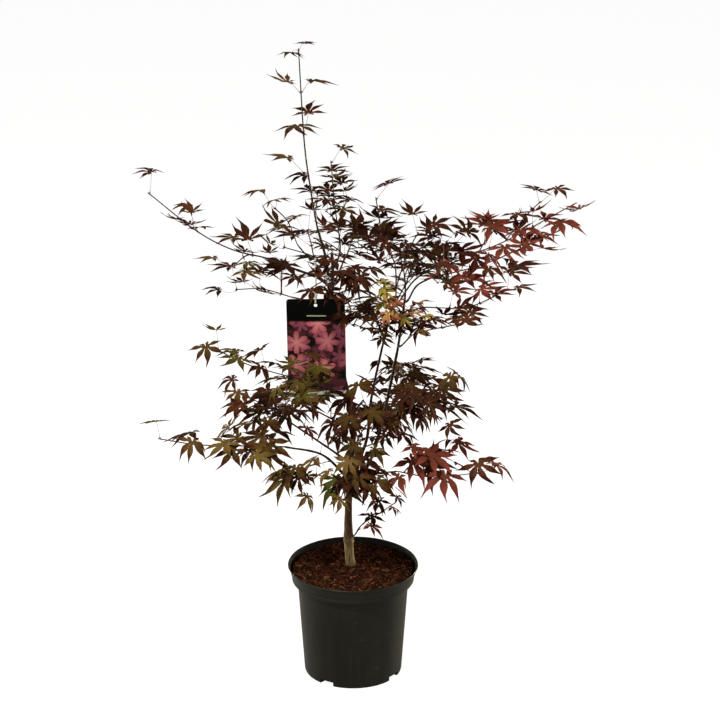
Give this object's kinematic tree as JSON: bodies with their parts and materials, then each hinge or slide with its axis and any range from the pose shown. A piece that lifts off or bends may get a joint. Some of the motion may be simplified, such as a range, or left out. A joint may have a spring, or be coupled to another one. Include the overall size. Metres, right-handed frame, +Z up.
{
  "type": "potted japanese maple",
  "caption": "Young Japanese maple with a grafted trunk, rising side stems, spreading boughs and lobed dark red leaves, in a round nursery pot with a plain hanging label.",
  "frame": {"origin": "centre of the pot's flat underside, on the ground", "axes": "+Z up along the trunk, +X to the right of the plant's front view, +Y to the back; the front faces -Y"},
  "size_m": [0.9414, 0.5732, 1.3859],
  "materials": {
    "pot_plastic": "black satin moulded plastic",
    "peat": "brown fibrous growing medium",
    "bark": "grey-brown striated bark",
    "twig_bark": "smooth dark brown young bark",
    "leaf_dark": "matt brown-red leaves",
    "leaf_red": "matt red-brown leaves",
    "leaf_olive": "matt olive leaves",
    "leaf_green": "matt green leaves",
    "leaf_young": "matt yellow-green young leaves",
    "card": null,
    "strap": "pale plastic strap"
  },
  "bodies": {
    "root": {"nursery_pot": "pot_plastic", "growing_medium": "peat", "trunk": "bark", "leader_bough": "twig_bark", "second_leader_bough": "twig_bark", "upper_left_bough": "twig_bark", "left_high_bough": "twig_bark", "left_rear_bough": "twig_bark", "left_green_bough": "twig_bark", "left_low_bough": "twig_bark", "left_inner_bough": "twig_bark", "right_front_stem": "twig_bark", "right_rear_stem": "twig_bark", "right_high_bough": "twig_bark", "right_upper_bough": "twig_bark", "right_mid_bough": "twig_bark", "right_shoulder_bough": "twig_bark", "right_inner_bough": "twig_bark", "right_low_bough": "twig_bark", "young_bough": "twig_bark", "crown_front_bough": "twig_bark", "crown_rear_bough": "twig_bark", "knot_rear_bough": "twig_bark", "inner_rear_bough": "twig_bark", "low_rear_bough": "twig_bark", "left_rear_low_bough": "twig_bark", "centre_front_bough": "twig_bark", "top_foliage": "leaf_dark", "second_top_foliage": "leaf_dark", "upper_left_foliage": "leaf_dark", "centre_high_foliage": "leaf_dark", "crown_left_foliage": "leaf_dark", "left_high_foliage": "leaf_dark", "left_rear_foliage": "leaf_dark", "left_green_foliage": "leaf_green", "left_low_foliage": "leaf_olive", "left_inner_foliage": "leaf_dark", "lowest_left_foliage": "leaf_dark", "front_low_foliage": "leaf_olive", "centre_right_foliage": "leaf_dark", "right_low_foliage": "leaf_red", "lowest_right_foliage": "leaf_dark", "right_inner_foliage": "leaf_dark", "right_shoulder_foliage": "leaf_dark", "right_mid_foliage": "leaf_dark", "right_high_foliage": "leaf_red", "right_upper_foliage": "leaf_red", "knot_foliage": "leaf_dark", "knot_front_foliage": "leaf_dark", "young_foliage": "leaf_young", "crown_front_foliage": "leaf_dark", "crown_rear_foliage": "leaf_dark", "knot_rear_foliage": "leaf_dark", "inner_rear_foliage": "leaf_dark", "low_rear_foliage": "leaf_dark", "left_rear_low_foliage": "leaf_dark", "centre_front_foliage": "leaf_dark", "label_card": "card", "label_strap": "strap"}
  },
  "joints": []
}
